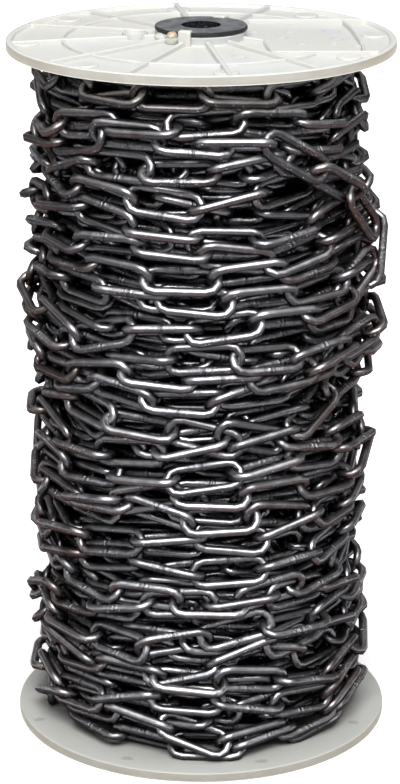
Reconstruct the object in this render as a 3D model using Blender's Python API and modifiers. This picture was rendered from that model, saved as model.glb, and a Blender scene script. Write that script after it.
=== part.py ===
# A reel of steel chain: two moulded flanges on a plain tube, wound full with long-link chain.
# Metres. +Z runs up the reel's axis, and the origin is the centre of the face that it stands on.
import math

import bmesh
import bpy
import numpy as np
from mathutils import Matrix, Vector

# The reel as a whole
REEL_HEIGHT = 0.3534       # standing face to the top rim's upper edge
FLANGE_RADIUS = 0.0950
GAP = 0.0003               # left between any two pieces that rest on each other
TURN_STEPS = 64            # sides of a large turned piece
SMALL_STEPS = 32           # sides of a small one

# Flange, with heights measured from its rim's outer face, positive away from the chain
RIM_HEIGHT = 0.0049
RIM_WIDTH = 0.0032
RIM_CHAMFER = 0.0005
PANEL_DEPTH = 0.0018       # the web's outer face lies this far below the rim's at the rim
HUB_DEPTH = 0.0002         # and this far below it at the collar
WEB_THICKNESS = 0.0024     # at the hub
FLAT_FROM = 0.0836         # the web's inner face is level outside this radius
FLAT_WITHIN = 0.0285       # and level again inside this one
RING_RADIUS = 0.0646       # stiffening ring, with its width
RING_WIDTH = 0.0015
RIB_WIDTH = 0.0025
RIB_RISE = 0.0018          # a rib's top above the rim's outer face, at the collar
RIB_ANGLES = (-57, -82.5, -108.5, -140, -172, 158, 128, 98, 68)
RIB_FOOT = 0.0004          # ribs and edges start this far inside the web
RIB_BITE = 0.0010          # and reach this far into the collar
LOW_RIBS = 12              # on the bottom flange
PANEL_HALF_DEPTH = 0.0409  # half the smooth panel's length along Y
PANEL_START = 0.0323       # its straight inner edge
PANEL_ARC_RADIUS = 0.0817  # its curved outer edge
PANEL_ARC_ENDS = (-29.7, 29.7)
PANEL_EDGE_WIDTH = 0.0013
PANEL_EDGE_DROP = 0.0007   # of its edges below the ribs beside them
PANEL_ANCHOR_ANGLE = 26    # of the short rib from the collar to each inner corner
ARC_STEP = 6               # degrees between the sections of a curved edge
LEVEL_STEP = 0.0001        # between the tops of edges that meet, so that no two are level
BOSS_RADIUS = 0.0063
BOSS_CENTRE = (-0.0323, 0.0000)
BOSS_RISE = 0.0010

# Collar, bush and tube
COLLAR_RADIUS = 0.0223
COLLAR_BORE_RADIUS = 0.0180
COLLAR_RISE = 0.0029
SPIGOT_RADIUS = 0.0206
SPIGOT_LENGTH = 0.0095     # from the rim's outer face into the tube
BUSH_BORE_RADIUS = 0.0095
BUSH_DISC_HEIGHT = 0.0022
LOW_DISC_HEIGHT = 0.0017
LOW_COLLAR_WIDTH = 0.0020
TUBE_BORE_RADIUS = 0.0209
TUBE_RADIUS = 0.0238

# Snap hooks that hold the top bush, and the stub of a broken one
HOOK_ANGLES = (-110, 70)
HOOK_WIDTH = 0.0061
HOOK_THICKNESS = 0.0019
HOOK_LIP = 0.0013
HOOK_LIP_HEIGHT = 0.0009
HOOK_FOOT = 0.0011         # of its foot below the rim's face
STUB_ANGLE = -127
STUB_WIDTH = 0.0044
STUB_RISE = 0.0034

# Long-link chain: 4 mm wire, 32 mm pitch, 16 mm wide
WIRE = 0.0040
LINK_PITCH = 0.0320
LINK_WIDTH = 0.0160
JOINT_RADIUS = 0.0756      # of the points where the outer layer's links meet, where it lies lowest
HEAP_HEIGHTS = (0.005, 0.035, 0.065, 0.090, 0.135, 0.176, 0.215, 0.260, 0.290, 0.318, 0.345)
HEAP_RISES = (0.0030, 0.0040, 0.0025, 0.0005, 0.0028, 0.0018, 0.0048, 0.0038, 0.0022, 0.0010, 0.0)
JOINT_HALF = 0.0022        # half the section there
SHOULDER = 0.0050          # from a joint to where a link has its full width
TURNS = 23
CLIMB_SHARE = 0.4          # of each turn, in which the chain steps up to the next one
ROLL = math.radians(45)    # links lie this much to either side, turn about
CORE_RADIUS = 0.0666       # hidden layers below

# The strand that lies across the outer turns, at its first link's angle and height
LOOSE_LINKS = 5
LOOSE_RADIUS = 0.0880
LOOSE_PITCH = 0.0311
LOOSE_START_ANGLE = -59
LOOSE_START_HEIGHT = 0.3097
LOOSE_SLOPE = math.radians(-32)
UNDER_MIDDLE = (math.radians(-25), 0.277)  # the outer layer stays low under the strand: angle, height
UNDER_REACH = (math.radians(80), 0.080)    # and how far from there
LINK_SIDES = 8
LINK_END_STEPS = 6


def clear_scene():
    for obj in list(bpy.data.objects):
        bpy.data.objects.remove(obj, do_unlink=True)
    for collection in list(bpy.data.collections):
        bpy.data.collections.remove(collection)


def new_collection(name):
    collection = bpy.data.collections.new(name)
    bpy.context.scene.collection.children.link(collection)
    return collection


def new_material(name, colour, roughness, metallic=0.0):
    material = bpy.data.materials.new(name)
    material.use_nodes = True
    shader = material.node_tree.nodes["Principled BSDF"]
    shader.inputs["Base Color"].default_value = (*colour, 1.0)
    shader.inputs["Roughness"].default_value = roughness
    shader.inputs["Metallic"].default_value = metallic
    material.diffuse_color = (*colour, 1.0)
    return material


def add_object(name, data, material, collection):
    obj = bpy.data.objects.new(name, data)
    collection.objects.link(obj)
    if material:
        data.materials.append(material)
    return obj


def turned(name, profile, material, collection, steps=TURN_STEPS):
    # A closed outline of (radius, height) points, from the top of its outer side downwards, swept round Z.
    mesh = bpy.data.meshes.new(name)
    points = [(radius, 0.0, height) for radius, height in profile]
    edges = [(i, (i + 1) % len(points)) for i in range(len(points))]
    mesh.from_pydata(points, edges, [])
    obj = add_object(name, mesh, material, collection)
    screw = obj.modifiers.new("Turn", "SCREW")
    screw.steps = steps
    screw.render_steps = steps
    screw.use_merge_vertices = True
    screw.merge_threshold = 0.00002
    screw.use_smooth_shade = True
    return obj


def helper(name, mesh, helpers):
    obj = add_object(name, mesh, None, helpers)
    obj.hide_render = True
    obj.display_type = "WIRE"
    return obj


def box_between(name, low, high, helpers, turn_degrees=0.0):
    # A block with these two corners, turned about Z.
    mesh = bpy.data.meshes.new(name)
    shape = bmesh.new()
    bmesh.ops.create_cube(shape, size=1.0)
    low, high = Vector(low), Vector(high)
    size = high - low
    place = Matrix.Translation((low + high) / 2) @ Matrix.Diagonal((*size, 1.0))
    shape.transform(Matrix.Rotation(math.radians(turn_degrees), 4, "Z") @ place)
    shape.to_mesh(mesh)
    shape.free()
    return helper(name, mesh, helpers)


def wedge_rib(name, start, end, base, top_start, top_end, angle, helpers):
    # A straight rib along +X from start to end, whose top slopes between the two heights.
    block = box_between(name, (start, -RIB_WIDTH / 2, base), (end, RIB_WIDTH / 2, 1.0), helpers)
    for vertex in block.data.vertices:
        if vertex.co.z > base + GAP:
            vertex.co.z = top_start if vertex.co.x < (start + end) / 2 else top_end
    block.data.transform(Matrix.Rotation(math.radians(angle), 4, "Z"))
    return block


def lofted_mesh(name, sections):
    # A closed tube through sections that each hold the same number of points, with both ends capped.
    sides = len(sections[0])
    points = [tuple(point) for section in sections for point in section]
    faces = [tuple(range(sides))]
    for first in range(0, len(points) - sides, sides):
        for side in range(sides):
            after = (side + 1) % sides
            faces.append((first + side, first + sides + side, first + sides + after, first + after))
    faces.append(tuple(range(len(points) - 1, len(points) - sides - 1, -1)))
    mesh = bpy.data.meshes.new(name)
    mesh.from_pydata(points, [], faces)
    shape = bmesh.new()
    shape.from_mesh(mesh)
    bmesh.ops.recalc_face_normals(shape, faces=shape.faces)
    shape.to_mesh(mesh)
    shape.free()
    return mesh


def arc_block(name, radius, width, low, high, ends, helpers):
    # A curved rib of rectangular section between two angles.
    steps = max(2, round((ends[1] - ends[0]) / ARC_STEP))
    sections = []
    for angle in np.radians(np.linspace(*ends, steps + 1)):
        outward = np.array([math.cos(angle), math.sin(angle)])
        corners = ((radius + width / 2, high), (radius + width / 2, low),
                   (radius - width / 2, low), (radius - width / 2, high))
        sections.append([(*(outward * reach), height) for reach, height in corners])
    return helper(name, lofted_mesh(name, sections), helpers)


def disc_block(name, radius, low, high, centre, helpers):
    mesh = bpy.data.meshes.new(name)
    shape = bmesh.new()
    place = Matrix.Translation((*centre, (low + high) / 2))
    bmesh.ops.create_cone(shape, cap_ends=True, segments=SMALL_STEPS, radius1=radius, radius2=radius,
                          depth=high - low, matrix=place)
    shape.to_mesh(mesh)
    shape.free()
    return helper(name, mesh, helpers)


def boolean(obj, operation, other):
    cut = obj.modifiers.new(other.name, "BOOLEAN")
    cut.operation = operation
    cut.solver = "EXACT"
    cut.object = other


def web_face(radius):
    # Height of the top flange's web, from the rim's outer face.
    share = (radius - COLLAR_RADIUS) / (FLANGE_RADIUS - RIM_WIDTH - COLLAR_RADIUS)
    return -HUB_DEPTH - share * (PANEL_DEPTH - HUB_DEPTH)


def rib_face(radius):
    # Height of a rib's top on the top flange: level with the rim there, and proud of it at the collar.
    share = (radius - COLLAR_RADIUS) / (FLANGE_RADIUS - RIM_WIDTH - COLLAR_RADIUS)
    return RIB_RISE * (1 - share)


def add_top_ribs(flange, helpers):
    top = REEL_HEIGHT
    inside = COLLAR_RADIUS - RIB_BITE
    outside = FLANGE_RADIUS - RIM_WIDTH / 2
    base = top - PANEL_DEPTH - RIB_FOOT
    for number, angle in enumerate(RIB_ANGLES, 1):
        rib = wedge_rib(f"rib_{number}", inside, outside, base, top + rib_face(inside),
                        top + rib_face(outside), angle, helpers)
        boolean(flange, "UNION", rib)


def add_ring(flange, helpers):
    # The stiffening ring runs round the back from one side of the smooth panel to the other.
    end = math.degrees(math.asin(PANEL_HALF_DEPTH / RING_RADIUS))
    base = REEL_HEIGHT - PANEL_DEPTH - RIB_FOOT
    ring = arc_block("ring", RING_RADIUS, RING_WIDTH, base, REEL_HEIGHT + rib_face(RING_RADIUS),
                     (end, 360 - end), helpers)
    boolean(flange, "UNION", ring)


def add_label_panel(flange, helpers):
    # The smooth panel's raised edges: two long sides, a short inner edge at each corner, and its anchors.
    base = REEL_HEIGHT - PANEL_DEPTH - RIB_FOOT
    half = PANEL_EDGE_WIDTH / 2
    reach = math.sqrt((FLANGE_RADIUS - RIM_WIDTH / 2) ** 2 - PANEL_HALF_DEPTH ** 2)
    corner = PANEL_START * math.tan(math.radians(PANEL_ANCHOR_ANGLE))
    anchor = PANEL_START / math.cos(math.radians(PANEL_ANCHOR_ANGLE))
    height = REEL_HEIGHT + rib_face(PANEL_HALF_DEPTH) - PANEL_EDGE_DROP
    arc = arc_block("panel_arc", PANEL_ARC_RADIUS, PANEL_EDGE_WIDTH, base, height - 2 * LEVEL_STEP,
                    PANEL_ARC_ENDS, helpers)
    boolean(flange, "UNION", arc)
    for name, side in (("near", -1), ("far", 1)):
        edge = box_between(f"panel_side_{name}", (PANEL_START - half, side * PANEL_HALF_DEPTH - half, base),
                           (reach, side * PANEL_HALF_DEPTH + half, height), helpers)
        low, high = sorted((side * corner, side * PANEL_HALF_DEPTH))
        start = box_between(f"panel_start_{name}", (PANEL_START - half, low, base),
                            (PANEL_START + half, high, height), helpers)
        rib = wedge_rib(f"panel_anchor_{name}", COLLAR_RADIUS - RIB_BITE, anchor, base,
                        REEL_HEIGHT + rib_face(COLLAR_RADIUS), height - LEVEL_STEP,
                        side * PANEL_ANCHOR_ANGLE, helpers)
        for piece in (edge, start, rib):
            boolean(flange, "UNION", piece)


def add_hooks(flange, helpers):
    # Each hook stands just outside the bush's disc and its lip reaches over the disc's edge.
    base = REEL_HEIGHT - HOOK_FOOT
    top = REEL_HEIGHT + COLLAR_RISE + GAP + BUSH_DISC_HEIGHT + GAP
    inner = COLLAR_RADIUS + GAP
    outer = inner + HOOK_THICKNESS
    half = HOOK_WIDTH / 2
    for number, angle in enumerate(HOOK_ANGLES, 1):
        post = box_between(f"hook_post_{number}", (inner, -half, base), (outer, half, top + HOOK_LIP_HEIGHT),
                           helpers, angle)
        side = half - LEVEL_STEP
        lip = box_between(f"hook_lip_{number}", (inner - HOOK_LIP, -side, top),
                          (outer - GAP, side, top + HOOK_LIP_HEIGHT - LEVEL_STEP), helpers, angle)
        boolean(flange, "UNION", post)
        boolean(flange, "UNION", lip)
    half = STUB_WIDTH / 2
    stub = box_between("broken_hook", (inner, -half, base), (outer, half, REEL_HEIGHT + STUB_RISE), helpers,
                       STUB_ANGLE)
    boolean(flange, "UNION", stub)


def make_top_flange(material, parts, helpers):
    edge = FLANGE_RADIUS - RIM_CHAMFER
    wall = FLANGE_RADIUS - RIM_WIDTH
    hub_inside = -HUB_DEPTH - WEB_THICKNESS
    profile = [
        (edge, 0), (FLANGE_RADIUS, -RIM_CHAMFER), (FLANGE_RADIUS, RIM_CHAMFER - RIM_HEIGHT),
        (edge, -RIM_HEIGHT), (FLAT_FROM, -RIM_HEIGHT), (FLAT_WITHIN, hub_inside),
        (SPIGOT_RADIUS, hub_inside), (SPIGOT_RADIUS, -SPIGOT_LENGTH), (COLLAR_BORE_RADIUS, -SPIGOT_LENGTH),
        (COLLAR_BORE_RADIUS, COLLAR_RISE), (COLLAR_RADIUS, COLLAR_RISE), (COLLAR_RADIUS, -HUB_DEPTH),
        (wall, -PANEL_DEPTH), (wall, 0),
    ]
    profile = [(radius, REEL_HEIGHT + height) for radius, height in profile]
    flange = turned("top_flange", profile, material, parts)
    add_top_ribs(flange, helpers)
    add_ring(flange, helpers)
    add_label_panel(flange, helpers)
    boss = disc_block("boss", BOSS_RADIUS, REEL_HEIGHT - PANEL_DEPTH, REEL_HEIGHT + RIB_RISE + BOSS_RISE,
                      BOSS_CENTRE, helpers)
    boolean(flange, "UNION", boss)
    add_hooks(flange, helpers)
    return flange


def make_bottom_flange(material, parts, helpers):
    # Its underside is not shown: a flat web with the same ribs, all just clear of the standing face.
    edge = FLANGE_RADIUS - RIM_CHAMFER
    wall = FLANGE_RADIUS - RIM_WIDTH
    ring_out = RING_RADIUS + RING_WIDTH / 2
    ring_in = RING_RADIUS - RING_WIDTH / 2
    seat_wall = COLLAR_RADIUS + GAP
    collar = seat_wall + LOW_COLLAR_WIDTH
    seat = GAP + LOW_DISC_HEIGHT + GAP
    profile = [
        (edge, RIM_HEIGHT), (FLANGE_RADIUS, RIM_HEIGHT - RIM_CHAMFER), (FLANGE_RADIUS, RIM_CHAMFER),
        (edge, 0), (wall, 0), (wall, PANEL_DEPTH), (ring_out, PANEL_DEPTH), (ring_out, GAP), (ring_in, GAP),
        (ring_in, PANEL_DEPTH), (collar, PANEL_DEPTH), (collar, GAP), (seat_wall, GAP), (seat_wall, seat),
        (COLLAR_BORE_RADIUS, seat), (COLLAR_BORE_RADIUS, SPIGOT_LENGTH), (SPIGOT_RADIUS, SPIGOT_LENGTH),
        (SPIGOT_RADIUS, RIM_HEIGHT),
    ]
    flange = turned("bottom_flange", profile, material, parts)
    for number in range(LOW_RIBS):
        angle = 360 / LOW_RIBS * (number + 0.5)
        rib = wedge_rib(f"low_rib_{number + 1}", seat_wall + LOW_COLLAR_WIDTH / 2, wall + RIM_WIDTH / 2, GAP,
                        PANEL_DEPTH + RIB_FOOT, PANEL_DEPTH + RIB_FOOT, angle, helpers)
        boolean(flange, "UNION", rib)
    return flange


def make_top_bush(material, parts):
    seat = REEL_HEIGHT + COLLAR_RISE + GAP
    profile = [
        (COLLAR_RADIUS, seat + BUSH_DISC_HEIGHT), (COLLAR_RADIUS, seat), (COLLAR_BORE_RADIUS - GAP, seat),
        (COLLAR_BORE_RADIUS - GAP, REEL_HEIGHT - SPIGOT_LENGTH),
        (BUSH_BORE_RADIUS, REEL_HEIGHT - SPIGOT_LENGTH), (BUSH_BORE_RADIUS, seat + BUSH_DISC_HEIGHT),
    ]
    return turned("top_bush", profile, material, parts, SMALL_STEPS)


def make_bottom_bush(material, parts):
    disc_top = GAP + LOW_DISC_HEIGHT
    plug = COLLAR_BORE_RADIUS - GAP
    profile = [
        (plug, SPIGOT_LENGTH), (plug, disc_top), (COLLAR_RADIUS, disc_top), (COLLAR_RADIUS, GAP),
        (BUSH_BORE_RADIUS, GAP), (BUSH_BORE_RADIUS, SPIGOT_LENGTH),
    ]
    return turned("bottom_bush", profile, material, parts, SMALL_STEPS)


def make_core_tube(material, parts):
    low = RIM_HEIGHT + GAP
    high = REEL_HEIGHT - HUB_DEPTH - WEB_THICKNESS - GAP
    profile = [(TUBE_RADIUS, high), (TUBE_RADIUS, low), (TUBE_BORE_RADIUS, low), (TUBE_BORE_RADIUS, high)]
    return turned("core_tube", profile, material, parts, SMALL_STEPS)


def make_inner_layers(material, parts):
    low = RIM_HEIGHT + GAP
    high = REEL_HEIGHT - RIM_HEIGHT - GAP
    inner = TUBE_RADIUS + GAP
    profile = [(CORE_RADIUS, high), (CORE_RADIUS, low), (inner, low), (inner, high)]
    return turned("chain_inner_layers", profile, material, parts)


def section_corners(half_long, half_short, roll):
    # Corners of a rectangle as (radial, upward) pairs, its long side turned by roll.
    signs = np.array([(1, 1), (-1, 1), (-1, -1), (1, -1)])
    corners = signs * (half_long, half_short)
    turn = np.array([(math.cos(roll), math.sin(roll)), (-math.sin(roll), math.cos(roll))])
    return corners @ turn


def wound_height(angles):
    # Each turn runs level, then steps up over the last share of its round to where the next one starts.
    reach = (LINK_WIDTH + WIRE) / 2 * math.sin(ROLL) + GAP
    low = RIM_HEIGHT + GAP + reach
    high = REEL_HEIGHT - RIM_HEIGHT - GAP - reach
    turns = angles / math.tau
    climb = np.clip((turns % 1 - 1 + CLIMB_SHARE) / CLIMB_SHARE, 0, 1)
    return low + (high - low) / (TURNS - 1) * (np.floor(turns) + climb)


def wound_radius(angles, heights):
    # The outer layer bulges and narrows with its height, but not under the loose strand.
    rise = np.interp(heights, HEAP_HEIGHTS, HEAP_RISES)
    aside = (angles - UNDER_MIDDLE[0] + math.pi) % math.tau - math.pi
    away = (aside / UNDER_REACH[0]) ** 6 + ((heights - UNDER_MIDDLE[1]) / UNDER_REACH[1]) ** 6
    return JOINT_RADIUS + rise * (1 - np.exp(-away))


def wound_angles():
    # Angles of the joints, each one link's pitch from the last.
    angles = [0.0]
    while angles[-1] < (TURNS - CLIMB_SHARE) * math.tau:
        here = np.array(angles[-1:])
        radius = wound_radius(here, wound_height(here))[0]
        angles.append(angles[-1] + 2 * math.asin(LINK_PITCH / 2 / radius))
    return np.array(angles[:-1])


def wound_sections():
    # Sections of the outer layer: at each joint of two links, and at both shoulders of each link.
    angles = wound_angles()
    heights = wound_height(angles)
    radii = wound_radius(angles, heights)
    joints = np.stack([radii * np.cos(angles), radii * np.sin(angles), heights], axis=1)
    share = SHOULDER / LINK_PITCH
    square = section_corners(JOINT_HALF, JOINT_HALF, ROLL)
    stations = []
    for index in range(len(joints) - 1):
        roll = ROLL if index % 2 == 0 else -ROLL
        full = section_corners(LINK_WIDTH / 2, WIRE / 2, roll)
        full = np.roll(full, -(index % 2), axis=0)
        middle = (angles[index] + angles[index + 1]) / 2
        start, end = joints[index], joints[index + 1]
        stations.append((start, angles[index], square))
        stations.append((start + share * (end - start), middle, full))
        stations.append((end + share * (start - end), middle, full))
    stations.append((joints[-1], angles[-1], square))
    sections = []
    for centre, angle, corners in stations:
        outward = np.array([math.cos(angle), math.sin(angle), 0.0])
        upward = np.array([0.0, 0.0, 1.0])
        sections.append(centre + corners[:, :1] * outward + corners[:, 1:] * upward)
    return sections


def make_outer_layer(material, parts):
    mesh = lofted_mesh("chain_outer_layer", wound_sections())
    return add_object("chain_outer_layer", mesh, material, parts)


def link_outline():
    # Centre line of one link in its own plane: two straights joined by half circles, the length along X.
    bend = (LINK_WIDTH - WIRE) / 2
    straight = (LINK_PITCH + WIRE) / 2 - bend
    points = []
    for end, start in ((1, -90), (-1, 90)):
        for step in range(LINK_END_STEPS + 1):
            turn = math.radians(start + 180 * step / LINK_END_STEPS)
            points.append((end * straight + bend * math.cos(turn), bend * math.sin(turn), 0.0))
    return points


def make_loose_link(number, place, material, parts):
    curve = bpy.data.curves.new(f"loose_link_{number}", "CURVE")
    curve.dimensions = "3D"
    curve.bevel_depth = WIRE / 2
    curve.bevel_resolution = LINK_SIDES // 4
    outline = link_outline()
    spline = curve.splines.new("POLY")
    spline.points.add(len(outline) - 1)
    for point, position in zip(spline.points, outline):
        point.co = (*position, 1.0)
    spline.use_cyclic_u = True
    obj = add_object(f"loose_link_{number}", curve, material, parts)
    obj.matrix_world = place
    return obj


def make_loose_strand(material, parts):
    # Real links, threaded through each other, that slope down across the outer turns.
    along = LOOSE_PITCH * math.cos(LOOSE_SLOPE) / LOOSE_RADIUS
    for number in range(1, LOOSE_LINKS + 1):
        angle = math.radians(LOOSE_START_ANGLE) + (number - 1) * along
        height = LOOSE_START_HEIGHT + (number - 1) * LOOSE_PITCH * math.sin(LOOSE_SLOPE)
        outward = Vector((math.cos(angle), math.sin(angle), 0.0))
        forward = Vector((-math.sin(angle), math.cos(angle), 0.0)) * math.cos(LOOSE_SLOPE)
        forward.z = math.sin(LOOSE_SLOPE)
        across = outward.cross(forward)
        frame = Matrix((forward, across, outward)).transposed().to_4x4()
        roll = ROLL if number % 2 else -ROLL
        centre = outward * LOOSE_RADIUS + Vector((0.0, 0.0, height))
        place = Matrix.Translation(centre) @ frame @ Matrix.Rotation(roll, 4, "X")
        make_loose_link(number, place, material, parts)


def main():
    clear_scene()
    parts = new_collection("reel_of_steel_chain")
    helpers = new_collection("helper_shapes")
    helpers.hide_render = True
    plastic = new_material("off_white_plastic", (0.80, 0.80, 0.75), 0.42)
    black = new_material("black_plastic", (0.045, 0.045, 0.05), 0.38)
    tube = new_material("grey_plastic_tube", (0.20, 0.20, 0.20), 0.5)
    steel = new_material("bare_steel", (0.33, 0.31, 0.29), 0.34, 1.0)
    make_bottom_flange(plastic, parts, helpers)
    make_top_flange(plastic, parts, helpers)
    make_core_tube(tube, parts)
    make_bottom_bush(black, parts)
    make_top_bush(black, parts)
    make_inner_layers(steel, parts)
    make_outer_layer(steel, parts)
    make_loose_strand(steel, parts)


main()
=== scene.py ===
import math

import bpy
import numpy as np
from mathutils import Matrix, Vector


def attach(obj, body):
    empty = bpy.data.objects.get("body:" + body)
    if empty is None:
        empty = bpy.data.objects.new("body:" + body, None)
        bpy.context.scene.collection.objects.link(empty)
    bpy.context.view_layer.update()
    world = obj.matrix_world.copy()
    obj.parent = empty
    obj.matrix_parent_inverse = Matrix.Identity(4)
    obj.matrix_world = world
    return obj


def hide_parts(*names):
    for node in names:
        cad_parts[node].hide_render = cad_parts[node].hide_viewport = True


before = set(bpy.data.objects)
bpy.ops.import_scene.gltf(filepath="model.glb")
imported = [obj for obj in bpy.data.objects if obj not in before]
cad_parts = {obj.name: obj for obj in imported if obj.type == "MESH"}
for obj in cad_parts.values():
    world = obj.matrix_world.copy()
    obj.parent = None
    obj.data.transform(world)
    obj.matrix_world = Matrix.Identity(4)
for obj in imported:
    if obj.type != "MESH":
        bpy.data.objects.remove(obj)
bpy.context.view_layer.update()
print("frame loaded:", len(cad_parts), "nodes")

reel = {
    "height": 0.3534,          # standing face to the top rim's upper edge
    "radius": 0.0950,
    "rimHeight": 0.0049,
    "rimWidth": 0.0032,
    "webAtRim": 0.0018,        # depth of the web below the rim's face, beside the rim
    "webAtHub": 0.0002,        # and beside the collar
    "hubRadius": 0.0223,
}
reel["wall"] = reel["radius"] - reel["rimWidth"]


def unit(vectors):
    return vectors / np.linalg.norm(vectors, axis=-1, keepdims=True)


def polar(radius, angle, height):
    # x = r cos a, y = r sin a, z = h, for arrays that fit each other
    return np.stack(np.broadcast_arrays(radius * np.cos(angle), radius * np.sin(angle), height), axis=-1)


def gridQuads(rows, columns, closeRows=False):
    # quads between neighbouring rows and columns; the last column joins the first, and closed rows do so too
    row = np.arange(rows if closeRows else rows - 1)[:, None]
    column = np.arange(columns)[None, :]
    nextRow, nextColumn = (row + 1) % rows, (column + 1) % columns
    corners = [row * columns + column, row * columns + nextColumn,
               nextRow * columns + nextColumn, nextRow * columns + column]
    return np.stack(np.broadcast_arrays(*corners), axis=-1).reshape(-1, 4)


def endCaps(rows, columns):
    return [list(range(columns)), list(range(rows * columns - 1, (rows - 1) * columns - 1, -1))]


def facingOut(points, quads, caps):
    # a closed shell with a negative volume is inside out, so its faces are turned round
    a, b, c, d = (points[quads[:, k]] for k in range(4))
    volume = (a * np.cross(b, c)).sum() + (a * np.cross(c, d)).sum()
    for cap in caps:
        ring = points[cap]
        volume += (ring[0] * np.cross(ring[1:-1], ring[2:])).sum()
    if volume < 0:
        quads, caps = quads[:, ::-1], [cap[::-1] for cap in caps]
    return points, quads, caps


def cappedShell(points):
    # a grid of points as a shell with a flat face on its first and last row
    rows, columns = points.shape[:2]
    return facingOut(points.reshape(-1, 3), gridQuads(rows, columns), endCaps(rows, columns))


def turnedShell(profile, steps, centre=(0, 0), swell=None):
    # a closed outline of (radius, height) carried round an upright axis; swell(angle, height) adds to the radius
    radius, height = np.array(profile, float).T[:, None]
    angle = np.linspace(0, 2 * math.pi, steps, endpoint=False)[:, None]
    if swell:
        radius = radius + swell(angle, height)
    points = polar(radius, angle, height) + (*centre, 0)
    return facingOut(points.reshape(-1, 3), gridQuads(steps, len(profile), True), [])


rib = {
    "foot": 0.00045,           # flare at the bottom
    "crown": 0.0005,           # rounding at the top
    "sink": 0.0004,            # depth below the surface that it stands on
}


def ribShell(plan, base, top, width):
    # a rib carried along a line in plan: its section has flared feet, upright sides and a rounded crown,
    # and runs from just under its base up to its top
    base, top = np.broadcast_to(base, len(plan)), np.broadcast_to(top, len(plan))
    along = unit(np.gradient(plan, axis=0))
    aside = np.stack([-along[:, 1], along[:, 0]], axis=1)
    half, foot = width / 2, rib["foot"]
    crown = min(rib["crown"], half * 0.8)
    reach = half + np.array([foot, foot, foot * 0.3, 0, -0.1 * crown, -0.4 * crown, -crown])
    rise = np.stack([base - rib["sink"], base, base + 0.3 * foot, base + foot,
                     np.maximum(top - crown, base + foot), top - 0.35 * crown, top], axis=1)
    rise = np.maximum.accumulate(rise, axis=1)
    across = np.concatenate([-reach, reach[::-1]])
    points = np.empty((len(plan), len(across), 3))
    points[:, :, :2] = plan[:, None] + aside[:, None] * across[None, :, None]
    points[:, :, 2] = np.concatenate([rise, rise[:, ::-1]], axis=1)
    return cappedShell(points)


def pillowShell(outline, width, angle, edge):
    # an outline of (radius, height) carried sideways over a width and then turned to its angle about Z;
    # it shrinks by edge at both ends, which rounds them
    outline = np.array(outline, float)
    across = np.array([-1, -0.85, -0.6, 0, 0.6, 0.85, 1])[:, None] * width / 2
    shrink = np.array([1, 0.25, 0, 0, 0, 0.25, 1]) * edge
    section = outline + unit(outline.mean(axis=0) - outline) * shrink[:, None, None]
    radius, height = section[:, :, 0], section[:, :, 1]
    c, s = math.cos(angle), math.sin(angle)
    return cappedShell(np.stack([radius * c - across * s, radius * s + across * c, height], axis=-1))


def blobShell(centre, radii, seed, lump=0.18, rows=12, columns=18):
    # an ellipsoid whose radius changes by a few slow waves over its two angles, closed at both poles
    rng = np.random.default_rng(seed)
    down = np.linspace(0, math.pi, rows)[:, None]
    angle = np.linspace(0, 2 * math.pi, columns, endpoint=False)[None, :]
    size = 1 + sum(lump / 3 * np.sin(k * angle + p) * np.sin(down) * np.cos(j * down)
                   for k, j, p in zip((1, 2, 3), (1, 2, 1), rng.uniform(0, 6.28, 3)))
    points = np.array(centre) + polar(size * np.sin(down), angle, size * np.cos(down)) * radii
    inner = np.concatenate([points[1:-1].reshape(-1, 3), points[0, :1], points[-1, :1]])
    top, low, last = len(inner) - 2, len(inner) - 1, (rows - 3) * columns
    caps = []
    for k in range(columns):
        caps += [[top, k, (k + 1) % columns], [low, last + (k + 1) % columns, last + k]]
    return facingOut(inner, gridQuads(rows - 2, columns)[:, ::-1], caps)


def placeObject(name, data):
    made = bpy.data.objects.new(name, data)
    bpy.context.scene.collection.objects.link(made)
    return made


def placePiece(name, mesh, material, replaced):
    mesh.materials.append(material)
    piece = placeObject(name, mesh)
    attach(piece, "root")
    if replaced:
        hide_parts(*replaced)


def addPiece(name, shells, material, replaced=(), sharp=42):
    # one mesh out of closed shells, each given as its points, its quads and its other faces;
    # edges that bend more than sharp degrees aren't smoothed
    start, points, faces = 0, [], []
    for shellPoints, quads, caps in shells:
        points.append(shellPoints)
        faces += (quads + start).tolist() + [[corner + start for corner in cap] for cap in caps]
        start += len(shellPoints)
    mesh = bpy.data.meshes.new(name)
    mesh.from_pydata(np.concatenate(points).tolist(), [], faces)
    mesh.shade_smooth()
    mesh.set_sharp_from_angle(angle=math.radians(sharp))
    placePiece(name, mesh, material, replaced)


class Field:
    # a node's output; + - * and abs() on it add the maths nodes that they say

    def __init__(self, tree, output):
        self.tree, self.output = tree, output

    def __add__(self, other):
        return maths("ADD", self, other)

    def __sub__(self, other):
        return maths("SUBTRACT", self, other)

    def __rsub__(self, other):
        return maths("SUBTRACT", other, self)

    def __mul__(self, other):
        return maths("MULTIPLY", self, other)

    def __abs__(self):
        return maths("ABSOLUTE", self)


def newMaterial(name):
    material = bpy.data.materials.new(name)
    material.use_nodes = True
    return material, material.node_tree, material.node_tree.nodes["Principled BSDF"]


def addNode(tree, kind, inputs, output=0, **settings):
    # a node as the field of one of its outputs; an input takes a value or a field
    made = tree.nodes.new("ShaderNode" + kind)
    for key, value in settings.items():
        setattr(made, key, value)
    for socket, value in inputs.items():
        if isinstance(value, Field):
            tree.links.new(value.output, made.inputs[socket])
        else:
            made.inputs[socket].default_value = value
    return Field(tree, made.outputs[output])


def treeOf(*values):
    return next(value.tree for value in values if isinstance(value, Field))


def maths(operation, *values):
    return addNode(treeOf(*values), "Math", dict(enumerate(values)), operation=operation)


def part(field, number):
    return addNode(field.tree, "SeparateXYZ", {0: field}, number)


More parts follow.
